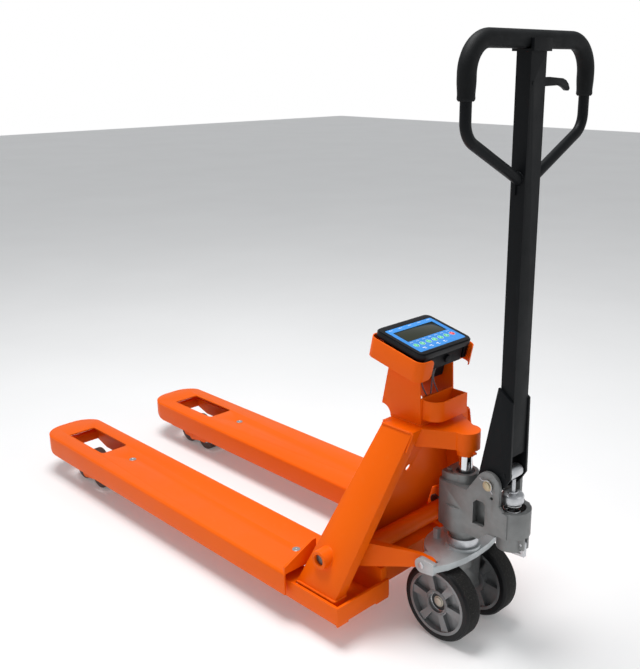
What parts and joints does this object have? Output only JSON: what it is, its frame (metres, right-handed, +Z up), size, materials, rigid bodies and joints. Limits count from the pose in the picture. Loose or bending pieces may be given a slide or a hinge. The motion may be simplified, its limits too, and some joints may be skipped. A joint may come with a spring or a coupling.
{
  "type": "pallet scale",
  "caption": "Hand pallet truck with weighing forks, hydraulic pump, steering handle and a weight indicator on a stand.",
  "frame": {"origin": "centre of the bounding box on the floor", "axes": "+X from the fork tips towards the handle, +Y across the truck to the operator's right, +Z up"},
  "size_m": [1.597, 0.568, 1.287],
  "materials": {
    "orange_paint": "gloss powder coat",
    "black_paint": "satin",
    "cast_aluminium": "as cast, matte",
    "zinc_steel": "zinc plated",
    "chrome_ram": "polished",
    "cell_steel": "machined",
    "hub_aluminium": "die cast",
    "tyre_rubber": "matte",
    "roller_rubber": "satin",
    "grip_rubber": "soft matte",
    "housing_black": "gloss",
    "panel_blue": "satin film",
    "lcd_glass": "gloss",
    "board_green": "satin",
    "battery_black": "satin",
    "cable_black": "matte",
    "key_green": "satin",
    "key_red": "satin"
  },
  "bodies": {
    "frame": {"weigh_fork_left": "orange_paint", "weigh_fork_right": "orange_paint", "fork_screws": "zinc_steel", "load_cells": "cell_steel", "inner_fork_left": "orange_paint", "inner_fork_right": "orange_paint", "side_beam_left": "orange_paint", "side_beam_right": "orange_paint", "head_bridge": "orange_paint", "heel_plate": "orange_paint", "ram": "chrome_ram", "rocker_pins": "zinc_steel", "bracket_pins": "zinc_steel", "display_stand": "orange_paint", "shield_bracket": "orange_paint", "indicator_body": "housing_black", "indicator_bezel": "housing_black", "keypad_panel": "panel_blue", "lcd": "lcd_glass", "circuit_board": "board_green", "battery": "battery_black", "signal_cables": "cable_black"},
    "base": {"base_plate": "cast_aluminium", "base_pins": "zinc_steel"},
    "pump": {"pump_body": "cast_aluminium", "thrust_ring": "zinc_steel", "hinge_pin": "zinc_steel", "wheel_axle": "zinc_steel"},
    "wheel_left": {"wheel_hub_left": "hub_aluminium", "tyre_left": "tyre_rubber"},
    "wheel_right": {"wheel_hub_right": "hub_aluminium", "tyre_right": "tyre_rubber"},
    "plunger": {"plunger": "zinc_steel", "plunger_spring": "zinc_steel"},
    "release_lever": {"release_lever": "zinc_steel"},
    "handle": {"handle_bracket": "black_paint", "handle_tube": "black_paint", "steering_loop": "black_paint", "loop_grip": "grip_rubber"},
    "control_lever": {"control_lever": "black_paint"},
    "pull_rod": {"pull_rod": "zinc_steel"},
    "pressure_roller": {"pressure_roller": "zinc_steel"},
    "rocker": {"rocker": "orange_paint"},
    "pushrod_left": {"pushrod_left": "orange_paint"},
    "pushrod_right": {"pushrod_right": "orange_paint"},
    "roller_bracket_left": {"roller_bracket_left": "orange_paint"},
    "roller_bracket_right": {"roller_bracket_right": "orange_paint"},
    "bogie_left": {"bogie_left": "orange_paint"},
    "bogie_right": {"bogie_right": "orange_paint"},
    "load_roller_1": {"load_roller_1": "roller_rubber"},
    "load_roller_2": {"load_roller_2": "roller_rubber"},
    "load_roller_3": {"load_roller_3": "roller_rubber"},
    "load_roller_4": {"load_roller_4": "roller_rubber"},
    "key_1": {"key_1": "key_green"},
    "key_2": {"key_2": "key_green"},
    "key_3": {"key_3": "key_green"},
    "key_4": {"key_4": "key_green"},
    "key_5": {"key_5": "key_green"},
    "key_6": {"key_6": "key_green"},
    "key_power": {"key_power": "key_red"}
  },
  "joints": [
    {"name": "lift", "type": "slide", "parent": "frame", "child": "base", "axis": [0, 0, -1], "range_m": [-0.038, 0.072]},
    {"name": "steer", "type": "hinge", "parent": "base", "child": "pump", "pos_m": [0.6331, 0, 0.206], "axis": [0, 0, 1], "range_deg": [-90, 90]},
    {"name": "wheel_left_spin", "type": "hinge", "parent": "pump", "child": "wheel_left", "pos_m": [0.6331, -0.0675, 0.09], "axis": [0, 1, 0], "continuous": true},
    {"name": "wheel_right_spin", "type": "hinge", "parent": "pump", "child": "wheel_right", "pos_m": [0.6331, 0.0675, 0.09], "axis": [0, 1, 0], "continuous": true},
    {"name": "handle_tilt", "type": "hinge", "parent": "pump", "child": "handle", "pos_m": [0.7235, 0, 0.3885], "axis": [0, 1, 0], "range_deg": [0, 72], "stiffness_Nm_per_rad": 30, "springref_deg": -20.05},
    {"name": "plunger_slide", "type": "slide", "parent": "pump", "child": "plunger", "axis": [0, 0, -1], "range_m": [0, 0.048], "deforming": ["plunger_spring"]},
    {"name": "release_turn", "type": "hinge", "parent": "pump", "child": "release_lever", "pos_m": [0.7895, 0, 0.263], "axis": [0, 1, 0], "range_deg": [-5.5, 5.5]},
    {"name": "lever_turn", "type": "hinge", "parent": "handle", "child": "control_lever", "pos_m": [0.7495, -0.014, 1.193], "axis": [1, 0, 0], "range_deg": [-10, 10], "stiffness_Nm_per_rad": 8},
    {"name": "pull_rod_slide", "type": "slide", "parent": "handle", "child": "pull_rod", "axis": [0, 0, 1], "range_m": [-0.004, 0.004]},
    {"name": "pressure_roller_spin", "type": "hinge", "parent": "handle", "child": "pressure_roller", "pos_m": [0.7535, 0, 0.416], "axis": [0, 1, 0], "continuous": true},
    {"name": "rocker_turn", "type": "hinge", "parent": "frame", "child": "rocker", "pos_m": [0.4245, 0, 0.1755], "axis": [0, 1, 0], "range_deg": [-11.4, 21.5]},
    {"name": "pushrod_left_slide", "type": "slide", "parent": "frame", "child": "pushrod_left", "axis": [-1, 0, 0], "range_m": [-0.007, 0.013]},
    {"name": "roller_bracket_left_turn", "type": "hinge", "parent": "frame", "child": "roller_bracket_left", "pos_m": [-0.4698, -0.195, 0.066], "axis": [0, 1, 0], "range_deg": [-31.5, 16.7]},
    {"name": "bogie_left_rock", "type": "hinge", "parent": "roller_bracket_left", "child": "bogie_left", "pos_m": [-0.6065, -0.195, 0.04], "axis": [0, 1, 0], "range_deg": [-12, 12]},
    {"name": "pushrod_right_slide", "type": "slide", "parent": "frame", "child": "pushrod_right", "axis": [-1, 0, 0], "range_m": [-0.007, 0.013]},
    {"name": "roller_bracket_right_turn", "type": "hinge", "parent": "frame", "child": "roller_bracket_right", "pos_m": [-0.4698, 0.195, 0.066], "axis": [0, 1, 0], "range_deg": [-31.5, 16.7]},
    {"name": "bogie_right_rock", "type": "hinge", "parent": "roller_bracket_right", "child": "bogie_right", "pos_m": [-0.6065, 0.195, 0.04], "axis": [0, 1, 0], "range_deg": [-12, 12]},
    {"name": "load_roller_1_spin", "type": "hinge", "parent": "bogie_left", "child": "load_roller_1", "pos_m": [-0.6525, -0.195, 0.04], "axis": [0, 1, 0], "continuous": true},
    {"name": "load_roller_2_spin", "type": "hinge", "parent": "bogie_left", "child": "load_roller_2", "pos_m": [-0.5605, -0.195, 0.04], "axis": [0, 1, 0], "continuous": true},
    {"name": "load_roller_3_spin", "type": "hinge", "parent": "bogie_right", "child": "load_roller_3", "pos_m": [-0.6525, 0.195, 0.04], "axis": [0, 1, 0], "continuous": true},
    {"name": "load_roller_4_spin", "type": "hinge", "parent": "bogie_right", "child": "load_roller_4", "pos_m": [-0.5605, 0.195, 0.04], "axis": [0, 1, 0], "continuous": true},
    {"name": "key_1_press", "type": "slide", "parent": "frame", "child": "key_1", "axis": [-0.2198, 0, -0.9755], "range_m": [0, 0.0008], "stiffness_N_per_m": 700, "springref_m": -0.0002},
    {"name": "key_2_press", "type": "slide", "parent": "frame", "child": "key_2", "axis": [-0.2198, 0, -0.9755], "range_m": [0, 0.0008], "stiffness_N_per_m": 700, "springref_m": -0.0002},
    {"name": "key_3_press", "type": "slide", "parent": "frame", "child": "key_3", "axis": [-0.2198, 0, -0.9755], "range_m": [0, 0.0008], "stiffness_N_per_m": 700, "springref_m": -0.0002},
    {"name": "key_4_press", "type": "slide", "parent": "frame", "child": "key_4", "axis": [-0.2198, 0, -0.9755], "range_m": [0, 0.0008], "stiffness_N_per_m": 700, "springref_m": -0.0002},
    {"name": "key_5_press", "type": "slide", "parent": "frame", "child": "key_5", "axis": [-0.2198, 0, -0.9755], "range_m": [0, 0.0008], "stiffness_N_per_m": 700, "springref_m": -0.0002},
    {"name": "key_6_press", "type": "slide", "parent": "frame", "child": "key_6", "axis": [-0.2198, 0, -0.9755], "range_m": [0, 0.0008], "stiffness_N_per_m": 700, "springref_m": -0.0002},
    {"name": "key_power_press", "type": "slide", "parent": "frame", "child": "key_power", "axis": [-0.2198, 0, -0.9755], "range_m": [0, 0.0008], "stiffness_N_per_m": 700, "springref_m": -0.0002}
  ],
  "couplings": [
    {"joint": "rocker_turn", "follows": "lift", "rad_per_m": 5.17},
    {"joint": "pushrod_left_slide", "follows": "lift", "ratio": 0.178},
    {"joint": "roller_bracket_left_turn", "follows": "lift", "rad_per_m": -7.58},
    {"joint": "pushrod_right_slide", "follows": "lift", "ratio": 0.178},
    {"joint": "roller_bracket_right_turn", "follows": "lift", "rad_per_m": -7.58},
    {"joint": "plunger_slide", "follows": "handle_tilt", "m_per_rad": 0.0378},
    {"joint": "pull_rod_slide", "follows": "lever_turn", "m_per_rad": 0.0219},
    {"joint": "release_turn", "follows": "lever_turn", "ratio": 0.51}
  ]
}
